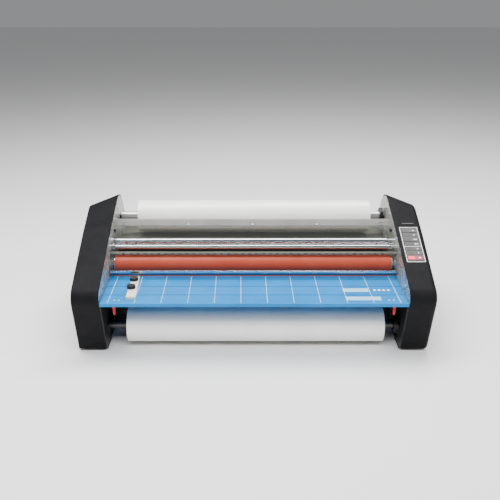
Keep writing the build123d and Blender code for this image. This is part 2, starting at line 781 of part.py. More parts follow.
# ------------------------------------------------------------------- feed tray
tray_front_y = front_y + 2.0 + sheet / 2
tray_middle_z = tray_top - sheet / 2
tray_x = inner_x - side_gap
groove_places = [front_y + place for place in groove_setbacks]
pin_y = front_y + 20.0
pin_z = tray_top - 9.0
lug_gap = tab_width / 2 + 0.5
with BuildPart() as feed_tray:
    add_sheet(
        (
            (tray_back_y, tray_middle_z),
            (tray_front_y, tray_middle_z),
            (tray_front_y, tray_middle_z - tray_fold),
            (tray_front_y + 7.0, tray_middle_z - tray_fold),
        ),
        sheet,
        -tray_x,
        tray_x,
        2.5,
    )
    for y in groove_places:
        half = groove_width / 2
        add_box(-tray_x, tray_x, y - half, y + half, tray_top - groove_depth, tray_top, Mode.SUBTRACT)
    for side in (-1, 1):
        for start in (side * tab_x - lug_gap - 3.0, side * tab_x + lug_gap):
            add_box(start, start + 3.0, pin_y - 6.0, pin_y + 6.0, pin_z - 5.0, tray_top - sheet)
        reach = lug_gap + 3.0
        bore = tab_pin_radius + running
        add_rod(pin_y, pin_z, bore, side * tab_x - reach, side * tab_x + reach, Mode.SUBTRACT)
feed_tray.part.label = "feed_tray"
export_step(feed_tray.part, "parts/feed_tray.step")

with BuildPart() as tray_supports:
    for side in (-1, 1):
        top = tray_top - sheet - seat_gap
        edge = side * inner_x
        add_box(edge - side * 20.0, edge, front_y + 30.0, cover_back, top - 3.0, top)
        add_box(edge - side * 3.0, edge, front_y + 30.0, cover_back, cover_top + 1.0, top)
tray_supports.part.label = "tray_supports"
export_step(tray_supports.part, "parts/tray_supports.step")

for side, name in ((-1, "left"), (1, "right")):
    with BuildPart() as release_tab:
        with BuildSketch(Plane.XZ.offset(-pin_y - 2.0)):
            with BuildLine():
                Polyline(
                    (side * tab_x - tab_width / 2, pin_z + 3.0),
                    (side * tab_x + tab_width / 2, pin_z + 3.0),
                    (side * tab_x + tab_width / 4, pin_z + 3.0 - tab_length),
                    (side * tab_x - tab_width / 4, pin_z + 3.0 - tab_length),
                    close=True,
                )
            make_face()
        extrude(amount=4.0)
        fillet(release_tab.edges().filter_by(Axis.Y), radius=1.5)
        reach = lug_gap + 3.0
        add_rod(pin_y, pin_z, tab_pin_radius, side * tab_x - reach, side * tab_x + reach)
    release_tab.part.label = f"{name}_release_tab"
    export_step(release_tab.part, f"parts/{name}_release_tab.step")

# --------------------------------------------------- side guide and its knobs
guide_bottom = tray_top + slack
guide_top = guide_bottom + guide_height
guide_front = front_y + 25.0
stem_radius = 3.0
knob_x = guide_x + knob_offset
knob_places = [front_y + place for place in knob_setbacks]
with BuildPart() as side_guide:
    half = guide_width / 2
    guide_back = guide_front + guide_length
    with BuildSketch(Plane.XY.offset(guide_bottom)):
        with BuildLine():
            Polyline(
                (guide_x - half, guide_front),
                (guide_x + half, guide_front),
                (guide_x + half - guide_taper, guide_back),
                (guide_x - half - 1.0, guide_back),
                close=True,
            )
        make_face()
    extrude(amount=guide_height)
    fillet(side_guide.edges().filter_by(Axis.Z), radius=4.0)
    fillet(side_guide.faces().sort_by(Axis.Z)[-1].edges(), radius=1.5)
    for y in groove_places:
        rib = groove_width / 2 - slack
        rib_low = tray_top - groove_depth / 2
        add_box(guide_x - half + 3, guide_x + half - 3, y - rib, y + rib, rib_low, guide_bottom)
    with BuildSketch(Plane.XY.offset(guide_top)):
        with Locations(*[(knob_x, y) for y in knob_places]):
            Circle(stem_radius + running)
    extrude(amount=1.5 - guide_height, mode=Mode.SUBTRACT)
side_guide.part.label = "side_guide"
export_step(side_guide.part, "parts/side_guide.step")

knurl_count = 24
for name, y in zip(("front", "rear"), knob_places):
    with BuildPart() as guide_knob:
        with BuildSketch(Plane.XY.offset(guide_top + 0.5)):
            with Locations((knob_x, y)):
                Circle(knob_radius)
                with PolarLocations(knob_radius, knurl_count):
                    Circle(0.6, mode=Mode.SUBTRACT)
        extrude(amount=knob_height)
        with BuildSketch(Plane.XY.offset(guide_top + 0.5)):
            with Locations((knob_x, y)):
                Circle(stem_radius)
        extrude(amount=-(guide_height - 1.0))
    guide_knob.part.label = f"{name}_guide_knob"
    export_step(guide_knob.part, f"parts/{name}_guide_knob.step")
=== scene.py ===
"""Looks of a wide desktop roll laminator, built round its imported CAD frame.

Every length is in metres and every place is in the CAD's own frame: +X right, -Y towards the
operator, +Z up, with the origin on the table under the middle of the machine.
"""

from __future__ import annotations

import logging
import math
from dataclasses import dataclass, field
from enum import Enum

import bpy
from mathutils import Matrix, Vector

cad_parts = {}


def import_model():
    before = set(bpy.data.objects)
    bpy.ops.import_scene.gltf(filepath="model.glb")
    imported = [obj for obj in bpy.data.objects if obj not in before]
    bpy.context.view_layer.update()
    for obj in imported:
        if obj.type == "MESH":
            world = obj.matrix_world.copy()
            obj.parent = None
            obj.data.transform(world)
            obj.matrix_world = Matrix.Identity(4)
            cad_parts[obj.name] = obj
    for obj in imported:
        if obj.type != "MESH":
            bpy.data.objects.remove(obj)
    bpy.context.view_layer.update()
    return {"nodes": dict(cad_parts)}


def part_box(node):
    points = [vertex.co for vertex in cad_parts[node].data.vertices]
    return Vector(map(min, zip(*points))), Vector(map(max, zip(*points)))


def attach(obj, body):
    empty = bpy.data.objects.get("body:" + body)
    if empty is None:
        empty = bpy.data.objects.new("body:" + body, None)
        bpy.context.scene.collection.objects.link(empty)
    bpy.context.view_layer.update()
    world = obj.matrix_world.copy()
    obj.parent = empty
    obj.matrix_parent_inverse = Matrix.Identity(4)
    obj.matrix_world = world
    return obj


log = logging.getLogger("laminator")
MM = 0.001


def srgb(code: str) -> tuple[float, float, float, float]:
    """Turns a hex sRGB colour into the linear RGBA that shader sockets take.

    Args:
        code: Six hex digits after a hash sign.

    Returns:
        Linear red, green and blue, and an alpha of one.
    """
    parts = [int(code[i : i + 2], 16) / 255 for i in (1, 3, 5)]
    linear = [p / 12.92 if p <= 0.04045 else ((p + 0.055) / 1.055) ** 2.4 for p in parts]
    return (linear[0], linear[1], linear[2], 1.0)


# --------------------------------------------------------------------------- finishes
class Shader:
    """A material being wired: its nodes, its links and its Principled shader."""

    def __init__(self, name: str) -> None:
        """Starts a material with one Principled shader."""
        self.material = bpy.data.materials.new(name)
        self.material.use_nodes = True
        self.tree = self.material.node_tree
        self.principled = self.tree.nodes["Principled BSDF"]
        self.coords = self.tree.nodes.new("ShaderNodeTexCoord").outputs["Object"]

    def set(self, **values: object) -> None:
        """Sets Principled sockets by name, with underscores for spaces."""
        for key, value in values.items():
            self.principled.inputs[key.replace("_", " ")].default_value = value

    def link(self, source: bpy.types.NodeSocket, target: bpy.types.NodeSocket) -> None:
        """Links one socket to another."""
        self.tree.links.new(source, target)

    def drive(self, socket: str, source: bpy.types.NodeSocket) -> None:
        """Links a source to a Principled socket."""
        self.link(source, self.principled.inputs[socket])

    def stretched(self, x: float, y: float, z: float) -> bpy.types.NodeSocket:
        """Gives object coordinates multiplied along each axis."""
        mapping = self.tree.nodes.new("ShaderNodeMapping")
        mapping.inputs["Scale"].default_value = (x, y, z)
        self.link(self.coords, mapping.inputs["Vector"])
        return mapping.outputs["Vector"]

    def noise(
        self, size: float, detail: float = 3.0, vector: bpy.types.NodeSocket | None = None
    ) -> bpy.types.NodeSocket:
        """Gives noise whose features are about size metres across.

        Args:
            size: Feature size in metres.
            detail: Number of finer layers.
            vector: Coordinates to use in place of the plain object ones.

        Returns:
            The noise factor's socket.
        """
        node = self.tree.nodes.new("ShaderNodeTexNoise")
        node.inputs["Scale"].default_value = 1 / size
        node.inputs["Detail"].default_value = detail
        self.link(vector or self.coords, node.inputs["Vector"])
        return node.outputs["Fac"]

    def cells(self, size: float) -> bpy.types.NodeSocket:
        """Gives the random colour of Voronoi cells about size metres across."""
        node = self.tree.nodes.new("ShaderNodeTexVoronoi")
        node.inputs["Scale"].default_value = 1 / size
        self.link(self.coords, node.inputs["Vector"])
        return node.outputs["Color"]

    def ranged(self, source: bpy.types.NodeSocket, low: float, high: float) -> bpy.types.NodeSocket:
        """Maps a factor's middle range onto the values from low to high."""
        node = self.tree.nodes.new("ShaderNodeMapRange")
        node.inputs["From Min"].default_value = 0.3
        node.inputs["From Max"].default_value = 0.7
        node.inputs["To Min"].default_value = low
        node.inputs["To Max"].default_value = high
        self.link(source, node.inputs["Value"])
        return node.outputs["Result"]

    def shades(self, source: bpy.types.NodeSocket, dark: str, light: str) -> bpy.types.NodeSocket:
        """Maps a factor's middle range onto two colours."""
        node = self.tree.nodes.new("ShaderNodeValToRGB")
        node.color_ramp.elements[0].position = 0.3
        node.color_ramp.elements[0].color = srgb(dark)
        node.color_ramp.elements[1].position = 0.7
        node.color_ramp.elements[1].color = srgb(light)
        self.link(source, node.inputs["Fac"])
        return node.outputs["Color"]

    def bump(self, source: bpy.types.NodeSocket, depth: float, strength: float = 0.5) -> None:
        """Adds relief of about depth metres from a factor."""
        node = self.tree.nodes.new("ShaderNodeBump")
        node.inputs["Strength"].default_value = strength
        node.inputs["Distance"].default_value = depth
        self.link(source, node.inputs["Height"])
        self.drive("Normal", node.outputs["Normal"])


@dataclass(frozen=True)
class Moulded:
    """Injection-moulded plastic with a fine spark-eroded grain and faint flow shading.

    Attributes:
        grain: Size of the grain in metres.
        relief: Height of the grain in metres.
        shine: Specular level, where 0.5 is a bare glossy plastic.
    """

    name: str
    dark: str
    light: str
    roughness: float = 0.5
    grain: float = 0.7 * MM
    relief: float = 0.06 * MM
    shine: float = 0.5

    def build(self) -> bpy.types.Material:
        """Makes the material."""
        shader = Shader(self.name)
        shader.set(Specular_IOR_Level=self.shine)
        shader.drive("Base Color", shader.shades(shader.noise(35 * MM, 4), self.dark, self.light))
        rough = shader.ranged(shader.noise(6 * MM), self.roughness - 0.06, self.roughness + 0.08)
        shader.drive("Roughness", rough)
        shader.bump(shader.noise(self.grain, 2), self.relief)
        return shader.material


@dataclass(frozen=True)
class Painted:
    """Sheet steel with baked paint: a slight orange peel under a clear gloss.

    Attributes:
        coat: Weight of the clear gloss.
        peel: Size of the orange peel in metres.
        shine: Specular level of the paint itself.
    """

    name: str
    dark: str
    light: str
    roughness: float = 0.35
    coat: float = 0.3
    peel: float = 2.5 * MM
    shine: float = 0.5

    def build(self) -> bpy.types.Material:
        """Makes the material."""
        shader = Shader(self.name)
        shader.set(Coat_Weight=self.coat, Coat_Roughness=0.15, Specular_IOR_Level=self.shine)
        shader.drive("Base Color", shader.shades(shader.noise(60 * MM, 1), self.dark, self.light))
        patches = shader.noise(30 * MM, 1)
        low, high = self.roughness - 0.02, self.roughness + 0.03
        shader.drive("Roughness", shader.ranged(patches, low, high))
        shader.bump(shader.noise(self.peel, 0), 0.006 * MM, 0.3)
        return shader.material


@dataclass(frozen=True)
class Spangled:
    """Hot-dip zinc on sheet steel, with crystals a few millimetres across."""

    name: str
    dark: str
    light: str
    crystal: float = 5 * MM

    def build(self) -> bpy.types.Material:
        """Makes the material."""
        shader = Shader(self.name)
        shader.set(Metallic=0.75)
        crystals = shader.cells(self.crystal)
        shader.drive("Base Color", shader.shades(crystals, self.dark, self.light))
        shader.drive("Roughness", shader.ranged(crystals, 0.3, 0.5))
        shader.bump(shader.noise(1.2 * MM, 2), 0.03 * MM, 0.3)
        return shader.material


class Lay(Enum):
    """The way that a metal's tool marks run."""

    ROUND = (1.0, 0.06, 0.06)
    ALONG_X = (0.03, 1.0, 1.0)
    NONE = (1.0, 1.0, 1.0)


@dataclass(frozen=True)
class Metal:
    """Bare or plated metal with fine tool marks that run one way."""

    name: str
    colour: str
    roughness: float
    lay: Lay = Lay.ROUND
    marks: float = 0.8 * MM
    relief: float = 0.01 * MM

    def build(self) -> bpy.types.Material:
        """Makes the material."""
        shader = Shader(self.name)
        shader.set(Base_Color=srgb(self.colour), Metallic=1.0)
        marks = shader.noise(self.marks, 2, shader.stretched(*self.lay.value))
        shader.drive("Roughness", shader.ranged(marks, self.roughness * 0.85, self.roughness * 1.2))
        shader.bump(marks, self.relief, 0.4)
        return shader.material


@dataclass(frozen=True)
class Silicone:
    """Ground silicone rubber on a roller: matt, with faint grinding lines round it."""

    name: str
    dark: str
    light: str
    roughness: float = 0.42

    def build(self) -> bpy.types.Material:
        """Makes the material."""
        shader = Shader(self.name)
        shader.set(Specular_IOR_Level=0.3)
        lines = shader.noise(1.5 * MM, 3, shader.stretched(1.0, 0.08, 0.08))
        shader.drive("Base Color", shader.shades(shader.noise(45 * MM, 4), self.dark, self.light))
        shader.drive("Roughness", shader.ranged(lines, self.roughness - 0.05, self.roughness + 0.1))
        shader.bump(lines, 0.03 * MM, 0.4)
        return shader.material


@dataclass(frozen=True)
class WoundFilm:
    """Clear film wound tight: milky and glossy, with the turns showing as rings on the ends."""

    name: str
    dark: str
    light: str
    axis: tuple[float, float]
    turns: float = 1.1 * MM

    def build(self) -> bpy.types.Material:
        """Makes the material."""
        shader = Shader(self.name)
        shader.set(Subsurface_Weight=0.15, Subsurface_Scale=4 * MM, Coat_Weight=0.35)
        shader.set(Subsurface_Radius=(1.0, 1.0, 1.0), Coat_Roughness=0.2)
        centred = shader.tree.nodes.new("ShaderNodeMapping")
        centred.inputs["Location"].default_value = (0.0, -self.axis[0], -self.axis[1])
        shader.link(shader.coords, centred.inputs["Vector"])
        rings = shader.tree.nodes.new("ShaderNodeTexWave")
        rings.wave_type = "RINGS"
        rings.rings_direction = "X"
        rings.inputs["Scale"].default_value = 1 / (20 * self.turns)
        rings.inputs["Distortion"].default_value = 1.5
        shader.link(centred.outputs["Vector"], rings.inputs["Vector"])
        shader.drive("Base Color", shader.shades(shader.noise(80 * MM, 3), self.dark, self.light))
        shader.drive("Roughness", shader.ranged(shader.noise(40 * MM), 0.3, 0.4))
        shader.bump(rings.outputs["Fac"], 0.2 * MM, 0.35)
        return shader.material


@dataclass(frozen=True)
class ClearSheet:
    """Clear sheet: see-through face on, and more of a mirror the more it is seen edge on.

    Attributes:
        edge: Share of mirror that is added where the sheet is seen edge on.
        haze: Share of mirror where it is seen face on.
        falloff: How quickly the added share fades away from the edges.
    """

    name: str
    tint: str
    edge: float = 0.4
    haze: float = 0.02
    falloff: float = 4.0

    def build(self) -> bpy.types.Material:
        """Makes the material."""
        shader = Shader(self.name)
        nodes = shader.tree.nodes
        clear = nodes.new("ShaderNodeBsdfTransparent")
        clear.inputs["Color"].default_value = srgb(self.tint)
        facing = nodes.new("ShaderNodeLayerWeight")
        power = nodes.new("ShaderNodeMath")
        power.operation = "POWER"
        power.inputs[1].default_value = self.falloff
        shader.link(facing.outputs["Facing"], power.inputs[0])
        share = nodes.new("ShaderNodeMath")
        share.operation = "MULTIPLY_ADD"
        share.inputs[1].default_value = self.edge
        share.inputs[2].default_value = self.haze
        shader.link(power.outputs["Value"], share.inputs[0])
        mix = nodes.new("ShaderNodeMixShader")
        shader.link(share.outputs["Value"], mix.inputs["Fac"])
        shader.link(clear.outputs["BSDF"], mix.inputs[1])
        shader.link(shader.principled.outputs["BSDF"], mix.inputs[2])
        shader.link(mix.outputs["Shader"], nodes["Material Output"].inputs["Surface"])
        shader.set(Base_Color=srgb("#f4f6f8"), Metallic=1.0)
        shader.drive("Roughness", shader.ranged(shader.noise(60 * MM, 1), 0.05, 0.07))
        return shader.material


@dataclass(frozen=True)
class Printed:
    """Screen-printed ink: flat colour with a slightly uneven film thickness."""

    name: str
    dark: str
    light: str
    glow: float = 0.0

    def build(self) -> bpy.types.Material:
        """Makes the material."""
        shader = Shader(self.name)
        shader.set(Emission_Color=srgb(self.light), Emission_Strength=self.glow)
        shader.drive("Base Color", shader.shades(shader.noise(3 * MM, 2), self.dark, self.light))
        shader.drive("Roughness", shader.ranged(shader.noise(2 * MM), 0.4, 0.55))
        return shader.material


@dataclass(frozen=True)
class Board:
    """Spiral-wound core board or bare circuit board: fibres laid along one way."""

    name: str
    dark: str
    light: str

    def build(self) -> bpy.types.Material:
        """Makes the material."""
        shader = Shader(self.name)
        fibres = shader.noise(2 * MM, 4, shader.stretched(0.25, 1.0, 1.0))
        shader.drive("Base Color", shader.shades(fibres, self.dark, self.light))
        shader.drive("Roughness", shader.ranged(fibres, 0.6, 0.8))
        shader.bump(fibres, 0.08 * MM)
        return shader.material


class Paint(Enum):
    """Every finish on the machine, each named for the real material or for the painted shade or
    reflection it stands in for.
    """

    HOUSING = Moulded("charcoal_moulded_plastic", "#151516", "#1a1a1c", 0.55, shine=0.06)
    ZINC = Spangled("spangled_zinc_steel", "#858682", "#dcdcd8", 4 * MM)
    GREY = Painted("light_grey_painted_steel", "#a9a8a1", "#b7b6af", 0.4)
    MOTOR = Painted("silver_grey_painted_steel", "#8f9092", "#9c9d9f", 0.35)
    # Grey paint darkened further as painted shade: the deck and the finger guard sit in shadow
    # behind the shield.
    DECK = Painted("grey_paint_and_shade_steel", "#545349", "#5f5e55", 0.5, 0.0)
    BLUE = Painted("blue_painted_steel", "#0073b4", "#007bbe", 0.35, 0.0, 6 * MM, 0.15)
    BLACK_STEEL = Painted("black_painted_steel", "#121213", "#1a1a1c", 0.45, 0.1)
    BLACK = Moulded("black_moulded_plastic", "#0d0d0e", "#161616", 0.45)
    RUBBER = Moulded("black_rubber", "#101010", "#191919", 0.75, 1.2 * MM, 0.12 * MM)
    CHROME = Metal("polished_chrome_plate", "#d4d4d8", 0.1, Lay.ROUND, 1.5 * MM, 0.0004 * MM)
    STEEL = Metal("turned_steel", "#a2a2a0", 0.28)
    # Steel made darker than the turned steel as painted shade: on the lower supply shaft under the
    # tray, and in the rail screws' cross recesses.
    DARK_STEEL = Metal("steel_darkened_as_shade", "#4a4a4b", 0.3)
    WASHER = Metal("nickel_plated_brass", "#d6cba8", 0.35, Lay.NONE)
    ALUMINIUM = Metal("anodised_aluminium", "#c9ccd2", 0.2, Lay.ALONG_X)
    SILICONE = Silicone("ground_red_silicone", "#b84430", "#c04e38")
    UPPER_FILM = WoundFilm("upper_wound_film", "#f6f4f0", "#fdfcf8", (0.135, 0.262))
    LOWER_FILM = WoundFilm("lower_wound_film", "#f6f4f0", "#fdfcf8", (-0.1685, 0.0555))
    CORE = Board("wound_core_board", "#8a6b47", "#a98a62")
    CIRCUIT = Board("green_circuit_board", "#0d3b22", "#145232")
    ACRYLIC = ClearSheet("clear_bent_acrylic", "#f8faf9")
    QUARTZ = ClearSheet("quartz_heater_glass", "#eeeeea", 0.7, 0.3)
    RED = Moulded("red_moulded_plastic", "#9c060c", "#ad0a10", 0.35, shine=0.3)
    IVORY = Moulded("ivory_moulded_plastic", "#d2cec2", "#dedacf", 0.42)
    # Dark blue-grey: painted reflection of the blue tray and painted shade on the lower half of the
    # shield's lip.
    SEAL = Moulded("painted_tray_reflection_blue_grey", "#1c3550", "#24405e", 0.4)
    KEY = Moulded("dark_key_plastic", "#19191b", "#222224", 0.4)
    KEY_RED = Moulded("dark_red_key_plastic", "#7c1018", "#8e161f", 0.38)
    INK_WHITE = Printed("white_screen_ink", "#e4e4e4", "#fafafa")
    INK_PALE = Printed("pale_blue_screen_ink", "#d4ecf8", "#e6f5fc")
    INK_BLUE = Printed("mid_blue_screen_ink", "#5fb2dc", "#6dbce3")
    INK_FIELD = Printed("clear_blue_screen_ink", "#8dcbe8", "#9ad3ee")
    # Dark blue strips on the groove floors: painted shade in the tray's grooves.
    INLAY = Printed("painted_groove_shade_blue", "#065278", "#08618c")
    INK_GREY = Printed("grey_screen_ink", "#7d7d7c", "#8b8b89")
    INK_RED = Printed("lit_red_legend", "#ee2a36", "#ff4650", 0.4)
    WINDOW = Printed("smoked_legend_window", "#1d1d18", "#2b2b24")

    def material(self) -> bpy.types.Material:
        """Gives the finish's one material, made when first asked for."""
        return bpy.data.materials.get(self.value.name) or self.value.build()

    def slot(self) -> str | None:
        """Names the record's material slot that has this finish, where one does."""
        slots = {
            Paint.HOUSING: "charcoal_housing",
            Paint.STEEL: "turned_steel",
            Paint.BLACK: "black_plastic",
            Paint.DARK_STEEL: "black_steel",
        }
        return slots.get(self)

    def dress(self, *pieces: bpy.types.Object) -> None:
        """Puts the finish on each piece, in place of what it had."""
        for piece in pieces:
            piece.data.materials.clear()
            piece.data.materials.append(self.material())


# --------------------------------------------------------------------------- modelling
class Bench:
    """Modelling moves shared by every sub-assembly, each done with Blender's own operators."""

    @staticmethod
    def select(piece: bpy.types.Object) -> None:
        """Makes a piece the only selected and active object."""
        bpy.ops.object.select_all(action="DESELECT")
        piece.select_set(True)
        bpy.context.view_layer.objects.active = piece

    @staticmethod
    def block(name: str, low: Vector, high: Vector) -> bpy.types.Object:
        """Adds a block between two corners, with its place in its mesh."""
        bpy.ops.object.select_all(action="DESELECT")
        bpy.ops.mesh.primitive_cube_add(size=1, location=(low + high) / 2)
        piece = bpy.context.active_object
        piece.name = name
        piece.scale = high - low
        bpy.ops.object.transform_apply(location=True, rotation=True, scale=True)
        return piece

    @classmethod
    def join(cls, name: str, pieces: list[bpy.types.Object]) -> bpy.types.Object:
        """Joins pieces into one object."""
        cls.select(pieces[0])
        for piece in pieces[1:]:
            piece.select_set(True)
        bpy.ops.object.join()
        pieces[0].name = name
        return pieces[0]

    @classmethod
    def apply(cls, piece: bpy.types.Object, kind: str, **settings: object) -> None:
        """Adds one modifier with its settings and applies it."""
        cls.select(piece)
        modifier = piece.modifiers.new("step", kind)
        for key, value in settings.items():
            setattr(modifier, key, value)
        bpy.ops.object.modifier_apply(modifier=modifier.name)

    @classmethod
    def round_off(cls, piece: bpy.types.Object, width: float, steps: int = 3) -> None:
        """Rounds the sharp edges and smooths what is left by angle."""
        cls.apply(piece, "BEVEL", width=width, segments=steps, limit_method="ANGLE")
        cls.smooth(piece)

    @classmethod
    def smooth(cls, piece: bpy.types.Object) -> None:
        """Shades a piece smooth where its faces meet at a low angle."""
        cls.select(piece)
        bpy.ops.object.shade_smooth_by_angle(angle=math.radians(35))

    @classmethod
    def place(cls, piece: bpy.types.Object, spot: Matrix) -> bpy.types.Object:
        """Moves a piece by a matrix and settles the move into its mesh."""
        cls.select(piece)
        piece.matrix_world = spot @ piece.matrix_world
        bpy.ops.object.transform_apply(location=True, rotation=True, scale=True)
        return piece

    @staticmethod
    def facing(place: Vector, across: Vector, up: Vector) -> Matrix:
        """Gives the frame that stands a flat piece up against a wall.

        Args:
            place: Where the flat piece's origin goes.
            across: The way that the piece's width runs.
            up: The way that its height runs.

        Returns:
            The matrix for place, with the piece's face looking along across x up.
        """
        columns = Matrix((across, up, across.cross(up))).transposed().to_4x4()
        return Matrix.Translation(place) @ columns

    @classmethod
    def sink_face(
        cls, piece: bpy.types.Object, normal: Vector, margin: float, depth: float
    ) -> None:
        """Insets the faces that look along a direction and pushes them in."""
        cls.select(piece)
        bpy.ops.object.mode_set(mode="EDIT")
        bpy.ops.mesh.select_mode(type="FACE")
        bpy.ops.mesh.select_all(action="DESELECT")
        bpy.ops.object.mode_set(mode="OBJECT")
        for face in piece.data.polygons:
            face.select = face.normal.dot(normal) > 0.99
        bpy.ops.object.mode_set(mode="EDIT")
        bpy.ops.mesh.inset(thickness=margin)
        bpy.ops.transform.translate(value=-normal * depth)
        bpy.ops.object.mode_set(mode="OBJECT")

    @classmethod
    def plate(
        cls,
        name: str,
        size: tuple[float, float],
        centre: tuple[float, float],
        depth: float,
        corner: float = 0.0,
    ) -> bpy.types.Object:
        """Makes a thin plate lying on Z = 0, with rounded upright edges where corner is given."""
        half = Vector((size[0] / 2, size[1] / 2, 0))
        middle = Vector((centre[0], centre[1], 0))
        piece = cls.block(name, middle - half, middle + half + Vector((0, 0, depth)))
        if corner:
            cls.select(piece)
            bpy.ops.object.mode_set(mode="EDIT")
            bpy.ops.mesh.select_mode(type="EDGE")
            bpy.ops.mesh.select_all(action="DESELECT")
            bpy.ops.object.mode_set(mode="OBJECT")
            corners = piece.data.vertices
            for edge in piece.data.edges:
                one, two = (corners[index].co for index in edge.vertices)
                edge.select = (one - two).normalized().z ** 2 > 0.9
            bpy.ops.object.mode_set(mode="EDIT")
            bpy.ops.mesh.bevel(offset=corner, segments=4)
            bpy.ops.object.mode_set(mode="OBJECT")
        return piece

    @classmethod
    def frame(
        cls, name: str, size: tuple[float, float], line: float, depth: float
    ) -> bpy.types.Object:
        """Makes a thin rectangular outline lying on Z = 0, centred on the origin."""
        wide, tall = size
        inner = tall - 2 * line
        bars = []
        for end in (-1, 1):
            bars.append(cls.plate("bar", (wide, line), (0, end * (tall - line) / 2), depth))
        for end in (-1, 1):
            bars.append(cls.plate("bar", (line, inner), (end * (wide - line) / 2, 0), depth))
        return cls.join(name, bars)


# --------------------------------------------------------------------------- the stage
@dataclass
class Studio:
    """The floor, the lights and the camera: everything that isn't the object."""

    pitch: float = 22.0
    focal_pixels: float = 708.6
    frame_pixels: float = 500.0
    principal: tuple[float, float] = (240.0, 271.0)
    eye: Vector = field(default_factory=lambda: Vector((-0.0357, -1.8693, 0.8945)))
    sensor: float = 36.0
    aim: Vector = field(default_factory=lambda: Vector((0, 0, 0.15)))
    ambient: float = 0.32

    def build(self) -> None:
        """Puts up the whole stage."""
        self.floor()
        self.lights()
        self.camera()

    def floor(self) -> None:
        """Lays a wide pale floor under the feet."""
        bpy.ops.object.select_all(action="DESELECT")
        bpy.ops.mesh.primitive_plane_add(size=30, location=(0, 0, 0))
        floor = bpy.context.active_object
        floor.name = "studio_floor"
        shader = Shader("pale_studio_paper")
        shader.set(Base_Color=srgb("#ececec"), Roughness=0.9, Specular_IOR_Level=0.1)
        floor.data.materials.append(shader.material)

    def area(
        self,
        name: str,
        place: tuple[float, float, float],
        size: tuple[float, float],
        power: float,
        mirrored: bool = True,
    ) -> None:
        """Adds one soft rectangular light that faces the machine.

        Args:
            name: The light's name.
            place: Where it hangs.
            size: Width and height.
            power: Output in watts.
            mirrored: Whether shiny surfaces show it.
        """
        data = bpy.data.lights.new(name, "AREA")
        data.shape = "RECTANGLE"
        data.size, data.size_y = size
        data.energy = power
        lamp = bpy.data.objects.new(name, data)
        lamp.location = place
        lamp.visible_glossy = mirrored
        lamp.rotation_euler = (self.aim - Vector(place)).to_track_quat("-Z", "Y").to_euler()
        bpy.context.scene.collection.objects.link(lamp)

    def lights(self) -> None:
        """Hangs a broad key overhead, a front fill and two side strips in a pale room."""
        self.area("key_overhead", (-0.2, 0.3, 2.5), size=(3.4, 1.0), power=165)
        self.area("front_fill", (0.2, -2.0, 2.5), size=(2.8, 0.7), power=92, mirrored=False)
        self.area("left_strip", (-2.4, -0.6, 1.2), size=(0.6, 1.6), power=14)
        self.area("right_strip", (2.4, -0.6, 1.2), size=(0.6, 1.6), power=14)
        world = bpy.data.worlds.new("pale_room")
        world.use_nodes = True
        world.node_tree.nodes["Background"].inputs["Color"].default_value = srgb("#f2f3f5")
        world.node_tree.nodes["Background"].inputs["Strength"].default_value = self.ambient
        bpy.context.scene.world = world

    def camera(self) -> None:
        """Sets the camera above and in front, looking down at the feed side."""
        data = bpy.data.cameras.new("front_camera")
        data.sensor_width = self.sensor
        data.lens = self.sensor * self.focal_pixels / self.frame_pixels
        middle = self.frame_pixels / 2
        data.shift_x = (middle - self.principal[0]) / self.frame_pixels
        data.shift_y = (self.principal[1] - middle) / self.frame_pixels
        camera = bpy.data.objects.new("front_camera", data)
        camera.location = self.eye
        camera.rotation_euler = (math.radians(90 - self.pitch), 0, 0)
        bpy.context.scene.collection.objects.link(camera)
        bpy.context.scene.camera = camera


# --------------------------------------------------------------------------- the machine
@dataclass
class Machine:
    """What the sub-assemblies share: the frame's nodes and the new pieces so far."""

    nodes: dict[str, bpy.types.Object]
    made: list[str] = field(default_factory=list)

    def keep(self, piece: bpy.types.Object, body: str, paint: Paint) -> None:
        """Dresses a new piece, makes it ride on a body and logs it."""
        paint.dress(piece)
        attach(piece, body)
        self.made.append(piece.name)
        log.info("piece %s rides on %s", piece.name, body)

    def dress(self, paint: Paint, *names: str) -> None:
        """Puts a finish on CAD nodes that keep their own shape."""
        for name in names:
            paint.dress(self.nodes[name])


@dataclass
class Carcass:
    """The fixed frame: plates, covers, pan, bars and small hardware."""

    machine: Machine

    def build(self) -> None:
        """Dresses the fixed CAD nodes."""
        dress = self.machine.dress
        dress(Paint.HOUSING, "left_housing", "right_housing")
        dress(Paint.ZINC, "left_side_plate", "right_side_plate")
        dress(Paint.GREY, "shield_rail")
        dress(Paint.MOTOR, "drive_motor")
        # The deck and the finger guard are grey steel, painted darker as shade behind the shield.
        dress(Paint.DECK, "rear_cover", "finger_guard")
        dress(Paint.BLACK_STEEL, "base_pan", "tray_supports", "drive_chain", "shaft_saddles")
        dress(Paint.BLACK, "inner_covers", "shield_pivots", "fan_frame", "fan_rotor", "power_inlet")
        dress(Paint.CHROME, "idler_bars", "cover_screws")
        dress(Paint.STEEL, "tie_bars", "roller_bearings")
        dress(Paint.RUBBER, "feet")
        dress(Paint.CIRCUIT, "main_board", "key_board")
        dress(Paint.QUARTZ, "heater_rods")
        dress(Paint.RED, "power_switch")


@dataclass
class Rollers:
    """The heated and pull rollers with their gears, and the two supply spindles."""

    machine: Machine

    def build(self) -> None:
        """Dresses the turning CAD nodes."""
        dress = self.machine.dress
        for level in ("upper", "lower"):
            dress(Paint.SILICONE, f"{level}_heat_sleeve")
            dress(Paint.CHROME, f"{level}_heat_roller")
            dress(Paint.STEEL, f"{level}_heat_gear", f"{level}_pull_gear")
            dress(Paint.RUBBER, f"{level}_pull_roller")
            dress(Paint.CORE, f"{level}_film_core")
            dress(Paint.BLACK, f"{level}_brake_hub")
        dress(Paint.UPPER_FILM, "upper_film_roll")
        dress(Paint.LOWER_FILM, "lower_film_roll")
        dress(Paint.STEEL, "motor_pinion", "upper_supply_shaft")
        # The lower shaft is the same steel as the upper one, darkened as painted shade under the
        # tray.
        dress(Paint.DARK_STEEL, "lower_supply_shaft")


